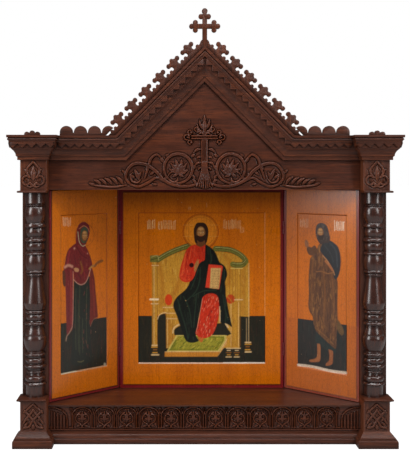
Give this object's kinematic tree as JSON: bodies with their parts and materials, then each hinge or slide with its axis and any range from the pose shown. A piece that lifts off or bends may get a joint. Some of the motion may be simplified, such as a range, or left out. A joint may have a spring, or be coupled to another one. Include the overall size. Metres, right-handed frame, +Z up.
{
  "type": "triptych altarpiece",
  "caption": "Carved wooden altarpiece with half-round turned columns and a gable, holding a painted panel and two painted wings that turn on hinges.",
  "frame": {"origin": "middle of the footprint, at the floor", "axes": "+Z up, +Y from the front to the back of the case, +X to the viewer's right as the front is looked at"},
  "size_m": [0.984, 0.2536, 1.1017],
  "materials": {
    "carved_wood": "dark stain, satin",
    "board_wood": "dark stain, satin",
    "turned_wood": "dark polish, gloss",
    "painted_panel": "tempera on gesso under varnish",
    "painted_iron": "red paint, worn"
  },
  "bodies": {
    "case": {"base_moulding": "board_wood", "arcade_panel": "carved_wood", "sill_board": "board_wood", "back_board": "board_wood", "top_board": "board_wood", "gable_board": "carved_wood", "finial_cross": "board_wood", "centre_panel": "painted_panel", "left_side_board": "board_wood", "left_plinth": "board_wood", "left_pedestal_block": "carved_wood", "left_pedestal_cap": "board_wood", "left_post": "board_wood", "left_column": "turned_wood", "left_abacus": "carved_wood", "left_capital_block": "carved_wood", "left_tower_cornice": "carved_wood", "left_crest_stub": "board_wood", "left_level_cornice": "carved_wood", "left_sloping_cornice": "carved_wood", "left_crocket_rail": "board_wood", "left_scalloped_rail": "board_wood", "left_lower_hinge_fixed_half": "painted_iron", "left_upper_hinge_fixed_half": "painted_iron", "right_side_board": "board_wood", "right_plinth": "board_wood", "right_pedestal_block": "carved_wood", "right_pedestal_cap": "board_wood", "right_post": "board_wood", "right_column": "turned_wood", "right_abacus": "carved_wood", "right_capital_block": "carved_wood", "right_tower_cornice": "carved_wood", "right_crest_stub": "board_wood", "right_level_cornice": "carved_wood", "right_sloping_cornice": "carved_wood", "right_crocket_rail": "board_wood", "right_scalloped_rail": "board_wood", "right_lower_hinge_fixed_half": "painted_iron", "right_upper_hinge_fixed_half": "painted_iron"},
    "left_wing": {"left_wing": "painted_panel", "left_lower_hinge_moving_half": "painted_iron", "left_upper_hinge_moving_half": "painted_iron"},
    "right_wing": {"right_wing": "painted_panel", "right_lower_hinge_moving_half": "painted_iron", "right_upper_hinge_moving_half": "painted_iron"}
  },
  "joints": [
    {"name": "left_wing_hinge", "type": "hinge", "parent": "case", "child": "left_wing", "pos_m": [-0.2245, 0.09025, 0.36875], "axis": [0, 0, 1], "range_deg": [-20, 140]},
    {"name": "right_wing_hinge", "type": "hinge", "parent": "case", "child": "right_wing", "pos_m": [0.2245, 0.09025, 0.36875], "axis": [0, 0, -1], "range_deg": [-20, 140]}
  ]
}
